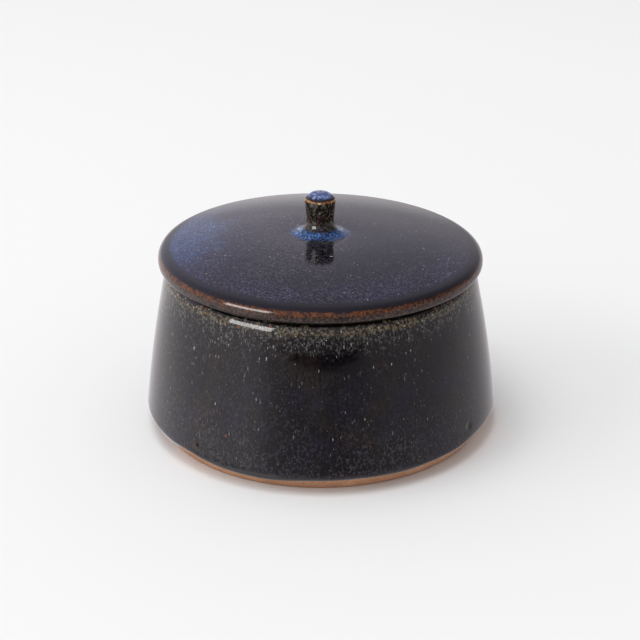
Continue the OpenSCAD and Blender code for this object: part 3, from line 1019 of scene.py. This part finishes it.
# and of the table and what lies beyond it, by degrees from the front towards +X
TABLE = [
    (-180, 0.90), (-150, 1.00), (-128, 1.00), (-107, 1.03), (-91, 1.07), (-63, 1.14), (-49, 1.18),
    (-41, 0.98), (-34, 0.70), (-28, 0.55), (-22, 0.46), (-17, 0.39), (-6, 0.36), (5, 0.29),
    (16, 0.29), (26, 0.33), (38, 0.45), (62, 0.52), (90, 0.64), (125, 0.68), (180, 0.80),
]
TABLE_NEAR = (0.52, 0.52, 0.52)     # the table close to the jar lies in its shadow, all round
CAMERA_WHITE = (0.95, 0.95, 0.95)   # the backdrop
TINT_LOW, TINT_HIGH = (1.05, 1.0, 1.04), (1.05, 1.0, 1.25)  # the room is bluer high up
GAP_TURN, GAP_HALF_W = 3, 28        # degrees: middle and half-width of the dark gap in front
GAP_SAG = 0.028                     # how far the gap's lower edge sags in its middle
GAP_DARK = 0.97                     # how much light the gap takes away
TAIL_DARK = 0.6                     # its thin tail to the left, as a part of that


def mirrored_room(m, x, y, z):
    """What the glaze mirrors: a room above, a table below the horizon, and a dark gap in front."""
    right = m.math("MAXIMUM", x, 0.0)
    room = m.mul(m.curve(z, ROOM, 0, 1), m.sub(m.sub(0.93, m.mul(x, 0.25)), m.mul(right, 0.45)))
    turn = m.mul(m.math("ARCTAN2", x, m.mul(y, -1)), 180 / math.pi)
    table = m.curve(turn, TABLE, -180, 180)
    across = m.mul(m.sub(turn, GAP_TURN), 1 / GAP_HALF_W)
    sag = m.mul(m.math("MAXIMUM", m.sub(1.0, m.mul(across, across)), 0.0), GAP_SAG)
    gap = m.mul(m.step(m.add(z, sag), -0.040, -0.031), m.step(z, -0.028, -0.034))
    gap = m.mul(gap, m.step(sag, 0.0, 0.006))
    tail = m.all_of(m.step(turn, -64, -54), m.step(turn, -18, -26), TAIL_DARK)
    tail = m.mul(tail, m.mul(m.step(z, -0.037, -0.033), m.step(z, -0.027, -0.031)))
    table = m.mul(table, m.less(m.math("MAXIMUM", gap, tail), GAP_DARK))
    table = m.mix(m.step(z, -0.30, -0.75), table, TABLE_NEAR)
    mirrored = m.mix(m.step(z, 0.04, 0.20), table, room)
    tint = m.mix(m.step(z, -0.1, 0.7), TINT_LOW, TINT_HIGH)
    return m.vector("MULTIPLY", mirrored, tint)


def falling_light(m, x, y, z):
    """Light that falls on table and clay: white, most from the horizon and the left, least from the front."""
    fall = m.add(0.59, m.mul(m.step(z, 0.8, 0.1), 0.35))
    fall = m.mul(fall, m.sub(0.90, m.mul(x, 0.25)))
    left = m.math("MAXIMUM", m.mul(x, -1), 0.0)
    fall = m.add(fall, m.all_of(m.mul(left, left), m.step(z, 0.5, 0.0), 0.9))
    level = m.math("SQRT", m.add(m.mul(x, x), m.mul(y, y)))
    ahead = m.math("DIVIDE", m.mul(y, -1), m.math("MAXIMUM", level, 0.001))
    return m.mul(fall, m.less(m.mul(m.step(ahead, 0.55, 0.92), m.step(z, 0.5, 0.1)), 0.34))


def make_world():
    """Glossy rays see the mirrored room, the camera sees plain white, and all else the falling light."""
    world = bpy.data.worlds.new("studio")
    bpy.context.scene.world = world
    world.use_nodes = True
    world.node_tree.nodes.clear()
    m = Nodes(world.node_tree)
    way = m.node("ShaderNodeTexCoord").outputs["Generated"]
    x, y, z = m.node("ShaderNodeSeparateXYZ", Vector=way).outputs
    ray = m.node("ShaderNodeLightPath").outputs
    shown = m.mix(ray["Is Glossy Ray"], falling_light(m, x, y, z), mirrored_room(m, x, y, z))
    shown = m.mix(ray["Is Camera Ray"], shown, CAMERA_WHITE)
    back = m.node("ShaderNodeBackground", Color=shown, Strength=1.0)
    out = m.node("ShaderNodeOutputWorld")
    m.tree.links.new(back.outputs[0], out.inputs["Surface"])


CAMERA_TARGET = Vector((-0.0003, 0.0, 0.0405))
CAMERA_DISTANCE, CAMERA_HEIGHT, CAMERA_ROLL = 0.6785, 23.89, -0.29  # metres, degrees, degrees
CAMERA_LENS, SENSOR_WIDTH = 95.7, 36.0                              # millimetres


def make_camera():
    data = bpy.data.cameras.new("camera")
    data.lens = CAMERA_LENS
    data.sensor_width = SENSOR_WIDTH
    camera = bpy.data.objects.new("camera", data)
    e = math.radians(CAMERA_HEIGHT)
    back = Vector((0, -math.cos(e), math.sin(e)))
    camera.rotation_mode = "QUATERNION"
    roll = Quaternion((0, 0, 1), math.radians(CAMERA_ROLL))
    camera.rotation_quaternion = (-back).to_track_quat("-Z", "Y") @ roll
    camera.location = CAMERA_TARGET + back * CAMERA_DISTANCE
    bpy.context.scene.collection.objects.link(camera)
    bpy.context.scene.camera = camera


make_floor()
make_softbox("top", 45, 75, 30, 30, 2.7, on_floor=True, in_glaze=False)
make_softbox("high", 125, 80, 26, 26, 2.3, on_floor=True, in_glaze=False)
make_softbox("key", 72, 32, 40, 16, 2.6, on_floor=True, in_glaze=False)
make_softbox("glint", 50, 17, 32, 18, 11.0, on_floor=False, in_glaze=True)
make_world()
make_camera()
bpy.context.scene.view_settings.view_transform = "Standard"
bpy.context.scene.view_settings.look = "None"
